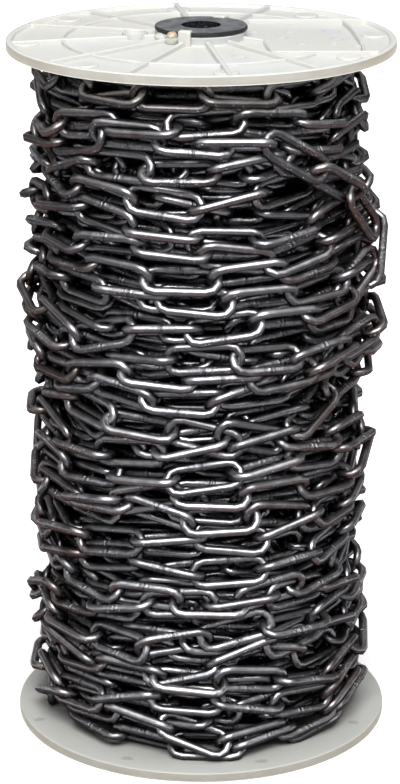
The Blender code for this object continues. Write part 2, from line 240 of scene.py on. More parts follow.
def noiseAt(place, scale, detail=3.0, roughness=0.55):
    return addNode(place.tree, "TexNoise", {"Vector": place, "Scale": scale, "Detail": detail,
                                            "Roughness": roughness}, "Fac")


def between(value, low, high):
    # 0 below low and 1 above high, with a soft step between
    return addNode(value.tree, "MapRange", {0: value, 1: low, 2: high, 3: 0.0, 4: 1.0},
                   interpolation_type="SMOOTHSTEP")


def blended(share, first, second, kind="MIX"):
    return addNode(treeOf(share, first), "Mix", {0: share, 6: first, 7: second}, 2, data_type="RGBA", blend_type=kind)


def placeAndUp(tree):
    # where a point is, and how far its surface faces up
    return addNode(tree, "TexCoord", {}, "Object"), part(addNode(tree, "TexCoord", {}, "Normal"), 2)


def fromAxis(place):
    flat = addNode(place.tree, "VectorMath", {0: place, 1: (1, 1, 0)}, "Vector", operation="MULTIPLY")
    return addNode(place.tree, "VectorMath", {0: flat}, "Value", operation="LENGTH")


def paint(shader, colour, roughness, height, relief, values):
    # fields for the colour, the roughness and bumps as deep as relief, and plain values for other inputs
    bump = addNode(colour.tree, "Bump", {"Height": height, "Distance": relief})
    for socket, field in (("Base Color", colour), ("Roughness", roughness), ("Normal", bump)):
        colour.tree.links.new(field.output, shader.inputs[socket])
    for socket, value in values.items():
        shader.inputs[socket].default_value = value


steel = {
    "dark": (0.33, 0.33, 0.345, 1),
    "worn": (0.88, 0.885, 0.92, 1),
    "brown": (0.20, 0.155, 0.14, 1),
    "burnt": (0.12, 0.12, 0.13, 1),
    "speck": (0.72, 0.735, 0.77, 1),
    "glint": (0.90, 0.92, 0.95, 1),
    "clamp": (0.62, 0.68, 0.74, 1),
    "groove": (0.03, 0.028, 0.028, 1),
    "underShade": (0.082, 0.080, 0.087, 1),
    "rustAndShadeBrown": (0.150, 0.100, 0.090, 1),
    "deepShade": (0.115, 0.115, 0.122, 1),
    "mottleAndFlangeShade": (0.36, 0.30, 0.25, 1),
    "turning": (0.45, 0.45, 0.47, 1),     # where the wire turns away from the eye
    "under": (0.02, 0.46),     # painted shade, darker where a surface faces up less than this
    "aside": (0.030, 0.075),   # painted shade, darker and browner this far to the left and right
    "deep": (0.073, 0.086),    # painted shade, darker, and oilier nearer the core than this
    "flangeShadeFrom": (0.318, 0.345),  # painted shadow of the top flange, brown, above this height
    "roughness": 0.28,
    "relief": 0.0004,
    "loop": 85.7,              # mm, of a link's centre line
    # mm from the weld's middle
    "burnSpan": (5.0, 10.0),
    "grooveSpan": (0.2, 0.7),
    "lipStart": (0.5, 0.9),
    "lipEnd": (1.2, 2.2),
    "clampAt": 10.5,
    "clampHalf": (2.2, 3.0),
    # shares of the way round the wire
    "clampTurn": 0.12,
    "clampWide": (0.10, 0.15),
}


def makeSteel(name):
    material, tree, shader = newMaterial(name)
    place, upward = placeAndUp(tree)
    wire = addNode(tree, "UVMap", {}, uv_map="wire")     # shares of the way along the loop and round the wire
    tone = addNode(tree, "Attribute", {}, "Fac", attribute_name="linkTone")     # random, one for a link
    second = maths("FRACT", tone * 13.0)
    third = maths("FRACT", tone * 7.0)
    run = part(wire, 0) * steel["loop"]
    weldOff = abs(run + (noiseAt(place, 380.0, 2.0) * 2.4 - 1.2))
    blotch = noiseAt(place, 130.0, 4.0)
    grain = noiseAt(place, 1100.0, 3.0, 0.7)
    mottleAndFlangeShade = noiseAt(place, 45.0)
    lines = addNode(tree, "Mapping", {"Vector": wire, "Scale": (26, 60, 1)})
    drawn = noiseAt(lines, 1.0, 4.0, 0.65)     # fine lines along the wire

    worn = between(blotch, 0.30, 0.70) * 0.40 + between(tone, 0.0, 1.0) * 0.60
    colour = blended(worn, steel["dark"], steel["worn"])
    # painted shade: links towards the left and right are darker and browner
    sideShade = between(abs(part(place, 0)) + (mottleAndFlangeShade * 0.04 - 0.02), *steel["aside"])
    brown = between(second, 0.80, 0.90) * between(mottleAndFlangeShade, 0.40, 0.55)
    colour = blended(brown * (sideShade * 0.4 + 0.3), colour, steel["brown"])
    colour = blended(sideShade * 0.5, colour, steel["brown"])

    # the weld: a groove between two lips, and a dull speckled stretch to both sides of it
    nearWeld = 1 - between(weldOff, *steel["burnSpan"])
    colour = blended(nearWeld * 0.35, colour, steel["burnt"])
    colour = blended(between(grain, 0.50, 0.58) * nearWeld * 0.85, colour, steel["speck"])
    groove = 1 - between(weldOff, *steel["grooveSpan"])
    lips = between(weldOff, *steel["lipStart"]) * (1 - between(weldOff, *steel["lipEnd"]))
    colour = blended(groove * between(grain, 0.35, 0.6) * 0.6, colour, steel["groove"])
    colour = blended(lips * grain * 0.5, colour, steel["speck"])

    # where the welding clamp held the wire: a bright flat spot on one side, on some links
    gripped = 1 - between(abs(run - steel["clampAt"]), *steel["clampHalf"])
    gripped = gripped * (1 - between(abs(part(wire, 1) - steel["clampTurn"]), *steel["clampWide"]))
    gripped = gripped * between(third, 0.70, 0.72)
    colour = blended(gripped * 0.85, colour, steel["clamp"])

    # painted shade, dark grey to maroon, on what faces down, rust patches, a painted brown shadow under the top flange,
    # painted shade and oil further in, and painted glints as bright specks
    underShade = 1 - between(upward, *steel["under"])
    rustAndShadeBrown = between(noiseAt(place, 95.0) + second * 0.24, 0.56, 0.72) * (sideShade * 0.6 + 0.4)
    colour = blended(rustAndShadeBrown * (sideShade * 0.16 + 0.04), colour, steel["brown"])
    # painted shade and a painted maroon reflection on faces that turn down
    colour = blended(underShade, colour, blended(rustAndShadeBrown, steel["underShade"], steel["rustAndShadeBrown"]), "MULTIPLY")
    # painted shadow of the top flange: the top turns are browner and darker
    colour = blended(between(part(place, 2), *steel["flangeShadeFrom"]) * 0.75, colour, steel["mottleAndFlangeShade"], "MULTIPLY")
    # painted shade: links nearer the core are darker, and smoother for oil
    deepShadeAndOil = 1 - between(fromAxis(place), *steel["deep"])
    colour = blended(deepShadeAndOil * 0.8, colour, steel["deepShade"])
    # painted highlight: small bright glints
    colour = blended(between(noiseAt(place, 1500.0, 2.0), 0.68, 0.72) * 0.7, colour, steel["glint"])

    rough = drawn * 0.16 + steel["roughness"] + nearWeld * 0.08 - deepShadeAndOil * 0.10 + between(blotch, 0.4, 0.7) * 0.06
    height = drawn * 0.12 + lips * 0.55 - groove * 0.6 - gripped * 0.4
    height = height + noiseAt(place, 650.0, 3.0, 0.6) * (nearWeld + 0.15) * 1.1
    paint(shader, colour, rough, height, steel["relief"], {"Metallic": 1.0, "Specular Tint": steel["turning"]})
    return material


plastic = {
    "body": (0.765, 0.76, 0.72, 1),
    "cool": (0.735, 0.75, 0.73, 1),
    "rimSideShade": (0.34, 0.325, 0.29, 1),
    "ribSideShade": (0.55, 0.545, 0.505, 1),
    "rimShade": (0.36, 0.31, 0.24, 1),
    "shadeGrey": (0.42, 0.42, 0.39, 1),
    "bluish": (0.78, 0.81, 0.84, 1),
    "whiteAndSheen": (0.90, 0.895, 0.85, 1),
    "collar": (0.52, 0.545, 0.555, 1),
    "soil": (0.47, 0.44, 0.37, 1),
    "roughness": 0.28,
    "relief": 0.00006,
    # radii and heights over which parts of a flange begin or end
    "ribsEnd": (0.0895, 0.0910),
    "rimSide": (0.0938, 0.0944),
    "rimFoot": (0.0006, 0.0030),
    "rimEnds": (0.055, 0.090),
    "collarIn": (0.0215, 0.0221),
    "collarOut": (0.0224, 0.0226),
    "collarLow": (-0.0002, 0.0002),
    "collarHigh": (0.0030, 0.0032),
    "seen": {"Subsurface Weight": 0.35, "Subsurface Radius": (0.85, 0.9, 0.6), "Subsurface Scale": 0.0025,
             "Specular IOR Level": 0.38},
}


def makePlastic(name, rimFoot, shadeShare, marks):
    # off-white moulding in clouds of two tints, greyed by a share of painted shade. Upright parts get painted shade,
    # and the rim's side a warm painted shade, browner at its foot and towards the left and right. Marks are (x, y,
    # length, width, degrees, tint)
    material, tree, shader = newMaterial(name)
    place, upward = placeAndUp(tree)
    radius, tall = fromAxis(place), part(place, 2)
    upright = 1 - between(abs(upward), 0.25, 0.75)
    cloud, wash = noiseAt(place, 22.0), noiseAt(place, 60.0, 4.0)
    colour = blended(between(cloud, 0.4, 0.65), plastic["body"], plastic["cool"])
    # painted shade: a share of grey over the whole moulding, for a flange that gets less light
    colour = blended(shadeShare, colour, plastic["shadeGrey"])
    # painted shade: upright faces inside the rim, the ribs' sides among them, are darker
    uprightShade = upright * (1 - between(radius, *plastic["ribsEnd"]))
    colour = blended(uprightShade * 0.5, colour, plastic["ribSideShade"])
    # painted shade: the rim's upright side is warm and darker
    side = between(radius, *plastic["rimSide"]) * upright
    colour = blended(side * (wash * 0.4 + 0.7), colour, plastic["rimSideShade"])
    # more painted shade, browner, at the rim's foot and towards its left and right ends
    foot = 1 - between(tall - rimFoot, *plastic["rimFoot"])
    colour = blended(foot * side * 0.45, colour, plastic["rimShade"])
    rimShade = between(abs(part(place, 0)), *plastic["rimEnds"]) * side * between(wash, 0.20, 0.55)
    colour = blended(rimShade * 0.8, colour, plastic["rimShade"])
    soil = between(noiseAt(place, 520.0, 2.0, 0.5), 0.70, 0.76) * between(wash, 0.5, 0.6)
    colour = blended(soil * 0.35, colour, plastic["soil"])
    # soft spots of a tint: whiter pin marks with painted sheen, bluish pin marks, and dimples in painted shade
    for x, y, length, width, turn, tint in marks:
        spot = addNode(tree, "Mapping", {"Vector": place, "Location": (x, y, 0), "Rotation": (0, 0, math.radians(turn)),
                                         "Scale": (length / 2, width / 2, 1)}, vector_type="TEXTURE")
        reach = fromAxis(spot) * fromAxis(spot) + (noiseAt(place, 400.0) - 0.5) * 1.4
        colour = blended((1 - between(reach, 0.2, 1.25)) * 0.75, colour, plastic[tint])
    # painted shade: the collar's wall under the bush is darker and a little bluer
    above = tall - reel["height"]
    wall = between(radius, *plastic["collarIn"]) * (1 - between(radius, *plastic["collarOut"]))
    wall = wall * (between(above, *plastic["collarLow"]) - between(above, *plastic["collarHigh"]))
    colour = blended(wall * 0.8, colour, plastic["collar"])
    height = noiseAt(place, 900.0, 2.0) * 0.25 + noiseAt(place, 90.0) * 0.8
    paint(shader, colour, cloud * 0.2 + plastic["roughness"], height, plastic["relief"], plastic["seen"])
    return material


def makeCloudy(name, first, second, scale, roughness, relief, metallic=0.0):
    # two close colours in clouds of one scale, with a fine grain
    material, tree, shader = newMaterial(name)
    place = placeAndUp(tree)[0]
    cloud, grain = noiseAt(place, scale, 4.0, 0.6), noiseAt(place, scale * 7, 3.0, 0.6)
    colour = blended(between(cloud, 0.38, 0.64), first, second)
    paint(shader, colour, grain * 0.16 + (roughness - 0.08), grain + cloud, relief, {"Metallic": metallic})
    return material


link = {
    "wire": 0.0040,
    "pitch": 0.0320,           # inside length
    "width": 0.0160,           # outside
    "sides": 6,
    "endStations": 6,
    "square": 1.02,            # how far the corners of an end stand out past a half circle
    "ring": 1.14,              # of the rings of points, as a hexagon looks narrower than a circle
}
link["bend"] = (link["width"] - link["wire"]) / 2
link["straight"] = link["pitch"] + link["wire"] - 2 * link["bend"]

winding = {
    "seed": 11,
    "core": 0.0580,            # hidden layers below this
    "layers": (0.0628, 0.0708, 0.0787),
    "turns": (31, 31, 27),
    "clear": 0.0062,           # of the line from both flanges
    "lineStep": 0.0019992,     # between the line's points
    "climb": 3.8,              # radians of a layer's end over which the line steps outwards
    "wander": 0.0048,          # up and down, of a strand from its level
    "wanderWaves": (0.14, 0.7),
    "sway": 0.0017,            # outwards
    "swayWaves": (0.13, 0.7),
    "step": 0.0317,            # from one joint of two links to the next
    "twist": 0.6,              # radians, of the slow turning of a strand
    "twistWaves": (0.25, 1.5),
    # for settling
    "samples": 24,             # points of a link
    "contact": 0.0041,
    "margin": 0.0025,          # points this much further apart are watched too
    "relist": 10,              # steps between lists of near points
    "batch": 6000,             # pairs of links at a time
    "outer": 0.0925,
    "pull": 0.000012,          # to the core, in each step
    "crowd": 0.28,
    "mostMove": 0.0008,
    "mostTurn": 0.05,
    "steps": 420,
}

# how far the turns stand out at the left and the right, by height
outline = {
    "height": (0.005, 0.030, 0.048, 0.065, 0.090, 0.115, 0.135, 0.150, 0.176, 0.195, 0.215, 0.240, 0.265, 0.290,
               0.318, 0.345),
    "right": (0.0845, 0.0840, 0.0895, 0.0810, 0.0790, 0.0820, 0.0835, 0.0865, 0.0820, 0.0880, 0.0905, 0.0915,
              0.0870, 0.0815, 0.0805, 0.0775),
    "left": (0.0865, 0.0880, 0.0830, 0.0865, 0.0820, 0.0870, 0.0880, 0.0885, 0.0830, 0.0880, 0.0885, 0.0860,
             0.0870, 0.0840, 0.0845, 0.0790),
    "mean": 0.0845,
}

# joints of the strand that lies across the others: angle, height, radius
looseStrand = ((-89.8, 0.3197, 0.0825), (-68.1, 0.3189, 0.0862), (-50.8, 0.3027, 0.0885), (-34.5, 0.2845, 0.0887),
               (-17.3, 0.2640, 0.0885), (-19.8, 0.2478, 0.0880), (-33.5, 0.2350, 0.0850), (-52.0, 0.2320, 0.0800))
looseRolls = (78, 8, 75, 5, 70, 15, 60)     # 0 shows a link's window, 90 its edge


def linkEnd(angle):
    # centre line at one end of a link, r = b (1 + (q - 1) sin^2 2a), and its outward directions
    out = np.stack([np.cos(angle), np.sin(angle)], axis=1)
    corner = 1 + (link["square"] - 1) * np.sin(2 * angle) ** 2
    return out * link["bend"] * corner[:, None], out


def stadium(count):
    # points at equal steps along the centre line: two straights joined by half circles
    bend, straight = link["bend"], link["straight"]
    s = (np.arange(count) + 0.5) / count * (2 * straight + 2 * math.pi * bend)
    lap = straight + math.pi * bend
    side = np.where(s < lap, 1.0, -1.0)
    s = s % lap
    angle = np.clip((s - straight) / bend, 0, math.pi) - math.pi / 2
    x = np.where(s < straight, s - straight / 2, straight / 2 + bend * np.cos(angle))
    y = np.where(s < straight, -bend, bend * np.sin(angle))
    return np.stack([side * x, side * y, np.zeros(count)], axis=1)


def slowWaves(s, rng, shortest, longest, waves=14):
    # a sum of sines of random lengths and phases, about 1 in size
    lengths = np.exp(rng.uniform(math.log(shortest), math.log(longest), waves))
    phases = rng.uniform(0, 2 * math.pi, waves)
    return np.sin(2 * math.pi * s[:, None] / lengths + phases).sum(axis=1) / math.sqrt(waves / 2)


def swellAt(angle, height):
    # the outline's offset d from its mean at the left and right, fading as d |cos a|^1.5 to the front and back
    right, left = (np.interp(height, outline["height"], outline[side]) - outline["mean"] for side in ("right", "left"))
    share = np.cos(angle)
    return np.where(share > 0, right, left) * np.abs(share) ** 1.5


def windingPath(rng):
    # a line that runs up one layer and down the next, and steps outwards over the last part of each;
    # slow waves move it up and down and outwards
    low = reel["rimHeight"] + winding["clear"]
    high = reel["height"] - reel["rimHeight"] - winding["clear"]
    layers = winding["layers"]
    parts, start = [], 0.0
    for number, (radius, turns, after) in enumerate(zip(layers, winding["turns"], (*np.diff(layers), 0.0))):
        angle = np.linspace(0, 2 * math.pi * turns, int(turns * 2 * math.pi * radius / winding["lineStep"]))
        share = angle / angle[-1]
        if number % 2:
            share = 1 - share
        climb = np.clip((angle - angle[-1]) / winding["climb"] + 1, 0, 1)
        parts.append(np.stack([angle + start, radius + after * climb ** 2 * (3 - 2 * climb),
                               low + (high - low) * share], axis=1))
        start += angle[-1]
    angle, radius, height = np.concatenate(parts).T
    s = np.cumsum(np.gradient(angle) * radius)
    depth = np.clip((radius - layers[0]) / (layers[-1] - layers[0]), 0, 1)
    height = height + winding["wander"] * (0.6 + 0.4 * depth) * slowWaves(s, rng, *winding["wanderWaves"])
    height = np.clip(height, low, high)
    radius = radius + winding["sway"] * np.abs(slowWaves(s, rng, *winding["swayWaves"]))
    radius = radius + swellAt(angle, height) * (0.25 + 0.75 * depth)
    return polar(radius, angle, height)


def jointsAlong(path, step):
    # points at equal steps along a line
    run = np.concatenate([[0], np.cumsum(np.linalg.norm(np.diff(path, axis=0), axis=1))])
    at = np.arange(0, run[-1], step)
    return np.stack([np.interp(at, run, path[:, k]) for k in range(3)], axis=1)


def squareTo(x, vectors):
    # v - (v . x) x, made unit
    return unit(vectors - (vectors * x).sum(axis=1)[:, None] * x)


def linkFrames(joints, rng, rolls=None):
    # each link's centre, and its axes as columns: along the strand, across, and out of its own plane.
    # Without given rolls, links lie 45 degrees to either side in turn, and the strand twists slowly
    x = unit(joints[1:] - joints[:-1])
    centre = (joints[1:] + joints[:-1]) / 2
    z = squareTo(x, centre * (1, 1, 0))
    y = np.cross(z, x)
    count = np.arange(len(centre))
    if rolls is None:
        roll = np.where(count % 2, 1, -1) * math.pi / 4
        waves = slowWaves(count * link["pitch"], rng, *winding["twistWaves"])
        roll = roll + winding["twist"] * waves + rng.normal(0, 0.08, len(centre))
    else:
        roll = np.radians(rolls)
    c, s = np.cos(roll)[:, None], np.sin(roll)[:, None]
    return centre, np.stack([x, c * y + s * z, c * z - s * y], axis=2)


def squared(axes):
    # axes made unit and at right angles again
    x = unit(axes[:, :, 0])
    y = squareTo(x, axes[:, :, 1])
    return np.stack([x, y, np.cross(x, y)], axis=2)


def nearPoints(points, centre, limit):
    # pairs of points of different links that lie within a limit, as indices into all points
    count = points.shape[1]
    c = centre.astype(np.float32)
    apart = ((c[:, None] - c[None]) ** 2).sum(axis=-1)
    first, second = np.nonzero(np.triu(apart < (link["pitch"] + 2 * link["wire"] + limit) ** 2, 1))
    found = []
    p = (points * 1000).astype(np.float32)
    for low in range(0, len(first), winding["batch"]):
        i, j = first[low:low + winding["batch"]], second[low:low + winding["batch"]]
        middle = p[i].mean(axis=1, keepdims=True)
        a, b = p[i] - middle, p[j] - middle
        gap = (a ** 2).sum(axis=2)[:, :, None] + (b ** 2).sum(axis=2)[:, None] - 2 * a @ b.transpose(0, 2, 1)
        k, m, n = np.nonzero(gap < (limit * 1000) ** 2)
        found.append(np.stack([i[k] * count + m, j[k] * count + n]))
    return np.concatenate(found, axis=1)


def wallPushes(points):
    # how far points lie inside the core, past the outer limit, or into a flange, with the way out
    low = reel["rimHeight"] + link["wire"] / 2
    high = reel["height"] - reel["rimHeight"] - link["wire"] / 2
    r = np.hypot(points[:, 0], points[:, 1])
    out = np.stack([points[:, 0] / r, points[:, 1] / r, np.zeros_like(r)], axis=1)
    up = np.broadcast_to((0.0, 0.0, 1.0), points.shape)
    found = []
    for over, way in ((winding["core"] - r, out), (r - winding["outer"], -out),
                      (low - points[:, 2], up), (points[:, 2] - high, -up)):
        hit = np.nonzero(over > 0)[0]
        found.append((hit, way[hit], over[hit]))
    return [np.concatenate(column) for column in zip(*found)]


def summed(who, vectors, count, most):
    # each link's sum of its n vectors over 1 + crowd (n - 1), and no longer than a limit
    share = 1 / (1 + winding["crowd"] * np.maximum(np.bincount(who, minlength=count) - 1, 0))
    total = np.stack([np.bincount(who, vectors[:, k], count) for k in range(3)], axis=1) * share[:, None]
    return total * np.minimum(1, most / np.maximum(np.linalg.norm(total, axis=1), 1e-9))[:, None]


def settle(centre, axes, pull):
    # every link is a rigid loop of points. Where two points are closer than the wire is thick, both links
    # move and turn apart in inverse proportion to their inertia there; a light pull draws them to the core
    shape = stadium(winding["samples"])
    size, count = len(shape), len(centre)
    ease = 1 / np.array([(shape[:, 1] ** 2).mean(), (shape[:, 0] ** 2).mean(), (shape ** 2).sum(axis=1).mean()])
    owner = np.arange(count * size) // size

    def response(points, index, way):
        # owning link, turn for a unit push there, and how readily the point gives way
        a = owner[index]
        arm = np.cross(points[index] - centre[a], way)
        turn = np.einsum("nij,nj->ni", axes[a], np.einsum("nij,ni->nj", axes[a], arm) * ease)
        return a, turn, 1 + (arm * turn).sum(axis=1)

    for step in range(winding["steps"]):
        grid = centre[:, None] + np.einsum("nij,kj->nki", axes, shape)
        if step % winding["relist"] == 0:
            pairs = nearPoints(grid, centre, winding["contact"] + winding["margin"])
        points = grid.reshape(-1, 3)
        gap = points[pairs[0]] - points[pairs[1]]
        distance = np.sqrt((gap ** 2).sum(axis=1))
        hit = distance < winding["contact"]
        first, second = pairs[0][hit], pairs[1][hit]
        way = gap[hit] / np.maximum(distance[hit], 1e-6)[:, None]
        depth = winding["contact"] - distance[hit]
        wall, wallWay, wallDepth = wallPushes(points)
        a, turnA, giveA = response(points, first, way)
        b, turnB, giveB = response(points, second, -way)
        w, turnW, giveW = response(points, wall, wallWay)
        push = (depth / (giveA + giveB))[:, None]
        wallPush = (wallDepth / giveW)[:, None]
        who = np.concatenate([a, b, w])
        move = np.concatenate([way * push, -way * push, wallWay * wallPush])
        turn = np.concatenate([turnA * push, turnB * push, turnW * wallPush])
        move = summed(who, move, count, winding["mostMove"])
        turn = summed(who, turn, count, winding["mostTurn"])
        # the pull ends over the last steps
        fade = np.clip((winding["steps"] - step) / (0.2 * winding["steps"]) - 0.25, 0, 1)
        centre = centre + move + unit(-centre * (1, 1, 0)) * (pull * fade)[:, None]
        axes = squared(axes + np.cross(turn[:, :, None], axes, axis=1))
    print("chain settled:", count, "links, mean overlap mm", round(float(depth.mean()) * 1000, 3))
    return centre, axes


def linkTemplate():
    # one link as stations round its centre line, with a ring of points at each: points, outward normals,
    # and for each point the share of the loop from the weld and round the wire
    half, bend = link["straight"] / 2, link["bend"]
    angle = np.linspace(-math.pi / 2, math.pi / 2, link["endStations"])
    line, out = linkEnd(angle)
    line = np.concatenate([line + (half, 0), -line - (half, 0)])
    out = np.concatenate([out, -out])
    run = np.concatenate([half + (angle + math.pi / 2) * bend, 3 * half + (angle + math.pi * 1.5) * bend])
    run = run / (4 * half + 2 * math.pi * bend) - 0.5
    turn = (np.arange(link["sides"]) + 0.5) / link["sides"] * 2 * math.pi
    normal = np.zeros((len(line), link["sides"], 3))
    normal[:, :, :2] = out[:, None] * np.cos(turn)[None, :, None]
    normal[:, :, 2] = np.sin(turn)
    points = normal * link["wire"] / 2 * link["ring"]
    points[:, :, :2] += line[:, None]
    return points.reshape(-1, 3), normal.reshape(-1, 3), run, turn / (2 * math.pi)


def pastSeam(shares, index):
    # shares go on past 1 in the closing quads, so that none runs back over the whole loop
    closing = (index.max(axis=1) - index.min(axis=1) > 1)[:, None] & (index == 0)
    return np.append(shares, shares[0] + 1)[np.where(closing, len(shares), index)]


def addLinks(name, centre, axes, material, replaced, rng):
    # the template at every link's place, p' = c + A p, turned half round for some
    points, normal, run, around = linkTemplate()
    stations, sides, count = len(run), link["sides"], len(centre)
    turned = np.where(rng.random(count) < 0.5, 1.0, -1.0)     # which of its two sides has the weld
    axes = axes * np.stack([turned, turned, np.ones(count)], axis=1)[:, None]
    place = centre[:, None] + np.einsum("nij,kj->nki", axes, points)
    facing = np.einsum("nij,kj->nki", axes, normal)
    quads = gridQuads(stations, sides, True)[:, ::-1]
    every = (quads[None] + (np.arange(count) * stations * sides)[:, None, None]).reshape(-1, 4)
    mesh = bpy.data.meshes.new(name)
    mesh.vertices.add(count * stations * sides)
    mesh.vertices.foreach_set("co", place.reshape(-1).astype(np.float32))
    mesh.loops.add(every.size)
    mesh.loops.foreach_set("vertex_index", every.reshape(-1).astype(np.int32))
    mesh.polygons.add(len(every))
    mesh.polygons.foreach_set("loop_start", np.arange(0, every.size, 4, dtype=np.int32))
    mesh.update(calc_edges=True)
    mesh.shade_smooth()
    station, side = np.divmod(quads, sides)
    wire = mesh.uv_layers.new(name="wire")
    flat = np.stack([pastSeam(run, station), pastSeam(around, side)], axis=-1).reshape(1, -1)
    wire.uv.foreach_set("vector", np.repeat(flat, count, axis=0).reshape(-1).astype(np.float32))
    tone = mesh.attributes.new("linkTone", "FLOAT", "POINT")
    tone.data.foreach_set("value", np.repeat(rng.random(count), stations * sides).astype(np.float32))
    mesh.normals_split_custom_set_from_vertices(facing.reshape(-1, 3).tolist())
    placePiece(name, mesh, material, replaced)


hidden = {
    "grid": 150,               # points round and rows up
    "row": 0.0118,             # height of one turn of links
    "links": 26,               # in a turn
    "rise": 0.0030,
    "dark": (0.012, 0.011, 0.011, 1),
    "light": (0.03, 0.026, 0.024, 1),
}


def hiddenTurns():
    # the layers under the modelled ones: a cylinder that rises in slanting rows of links,
    # r = core + rise |sin(pi h / row + a)| (0.7 + 0.3 cos(links a + 5 floor(h / row)))
    low = reel["rimHeight"] + 0.0003
    angle = np.linspace(0, 2 * math.pi, hidden["grid"], endpoint=False)[None, :]
    height = np.linspace(low, reel["height"] - low, hidden["grid"])[:, None]
    rowWave = np.abs(np.sin(math.pi * height / hidden["row"] + angle))
    linkWave = 0.7 + 0.3 * np.cos(hidden["links"] * angle + 5 * np.floor(height / hidden["row"]))
    return cappedShell(polar(winding["core"] - 0.0005 + hidden["rise"] * rowWave * linkWave, angle, height))


def makeChain():
    rng = np.random.default_rng(winding["seed"])
    centre, axes = linkFrames(jointsAlong(windingPath(rng), winding["step"]), rng)
    pull = np.full(len(centre), winding["pull"])
    angle, height, radius = np.array(looseStrand).T
    looseCentre, looseAxes = linkFrames(polar(radius, np.radians(angle), height), rng, looseRolls)
    loose = len(looseCentre)
    centre, axes = np.concatenate([centre, looseCentre]), np.concatenate([axes, looseAxes])
    pull = np.concatenate([pull, np.full(loose, winding["pull"] / 3)])
    centre, axes = settle(centre, axes, pull)
    chainSteel = makeSteel("bare_steel")
    addLinks("wound_chain", centre[:-loose], axes[:-loose], chainSteel, ["chain_outer_layer"], rng)
    addLinks("loose_strand", centre[-loose:], axes[-loose:], chainSteel,
             [f"loose_link_{k}" for k in range(1, 6)], rng)
    # painted shade: the hidden turns are near black, as the deep layers seen through gaps lie in shade
    shadow = makeCloudy("shaded_hidden_steel", hidden["dark"], hidden["light"], 150.0, 0.6, 0.0002, 0.6)
    addPiece("hidden_turns", [hiddenTurns()], shadow, ["chain_inner_layers"], sharp=180)
    print("chain made")


makeChain()


topFlange = {
    "collarRise": 0.0036,
    "collarBore": 0.0180,
    "ribWidth": 0.0025,
    "ribRise": 0.0019,
    "ribAngles": (-53.5, -81.5, -112, -140.5, -173.3, 157, 128, 98, 68),
    "ringRadius": 0.0673,
    "ringWidth": 0.0015,
    "ringRise": 0.0014,
    "panelHalf": 0.0411,
    "panelHub": 22,            # degrees, of the rib from the collar to the panel
    "panelNear": ((0.0304, -0.0125), (0.0334, -0.0411)),
    "panelFar": 0.0237,
    "panelEnd": ((0.0712, 0.0405), (0.0742, 0.0225), (0.0761, 0.0), (0.0772, -0.0175), (0.0772, -0.0405)),
    "panelEdge": 0.0013,
    "boss": (-0.0323, 0.0, 0.0063),
    "discs": ((0.0697, -0.0451), (0.0115, -0.0815), (-0.0538, -0.0639), (-0.0843, -0.0112), (-0.0670, 0.0530),
              (-0.0114, 0.0800), (0.0534, 0.0636), (0.0845, 0.0102)),
    "pinMarks": ((0.0440, 0.0162, 0.0032, "whiteAndSheen"), (0.0485, -0.0147, 0.0030, "whiteAndSheen"),
                 (0.0659, 0.0013, 0.0038, "bluish"), (0.0641, -0.0109, 0.0026, "whiteAndSheen"),
                 (0.0753, -0.0170, 0.0034, "whiteAndSheen"), (0.0637, 0.0199, 0.0048, "bluish"),
                 (0.0260, 0.0136, 0.0026, "whiteAndSheen"), (0.0391, 0.0013, 0.0030, "bluish"),
                 (0.0179, -0.0451, 0.0038, "whiteAndSheen")),
    "hooks": ((-110, 0.0024), (63, 0.0044)),      # degrees, and how far the lip reaches in
    "hookWidth": 0.0061,
    "torn": ((0.60, 0.43, 0.28, 1), (0.84, 0.73, 0.60, 1)),
    "flash": ((0.70, 0.72, 0.64, 1), (0.48, 0.50, 0.44, 1)),
    "ribEnds": (0.0006, 0.0018),       # how far ribs run into the collar and the rim
    "panelRise": 0.0011,
    # outlines of (radius, height over the web), and for the pin marks shares of their radius
    "discOutline": ((0.0064, -0.0006), (0.0063, 0), (0.0061, 0.0006), (0.0058, 0.0009), (0.0053, 0.0010),
                    (0.0030, 0.0009), (0, 0.0008), (0, -0.0006)),
    "pinOutline": ((1, -0.0003), (1, 0), (0.85, 0.00016), (0.6, 0.00030), (0.35, 0.00038), (0, 0.0004), (0, -0.0003)),
}
bushSeat = reel["height"] + topFlange["collarRise"] + 0.0003


def outward(radius):
    # share of the way from the collar to the rim's inner wall
    return (radius - reel["hubRadius"]) / (reel["wall"] - reel["hubRadius"])


def webHeight(radius):
    # the top flange's web falls evenly outwards
    return reel["height"] - reel["webAtHub"] - outward(radius) * (reel["webAtRim"] - reel["webAtHub"])


def ribTop(radius):
    # a rib's top falls evenly outwards to the rim's face
    return reel["height"] + topFlange["ribRise"] * (1 - outward(radius))


def webRib(plan, top, width=topFlange["ribWidth"]):
    return ribShell(plan, webHeight(np.hypot(*plan.T)), top, width)


def atAngle(radius, degrees):
    return (radius * math.cos(math.radians(degrees)), radius * math.sin(math.radians(degrees)))


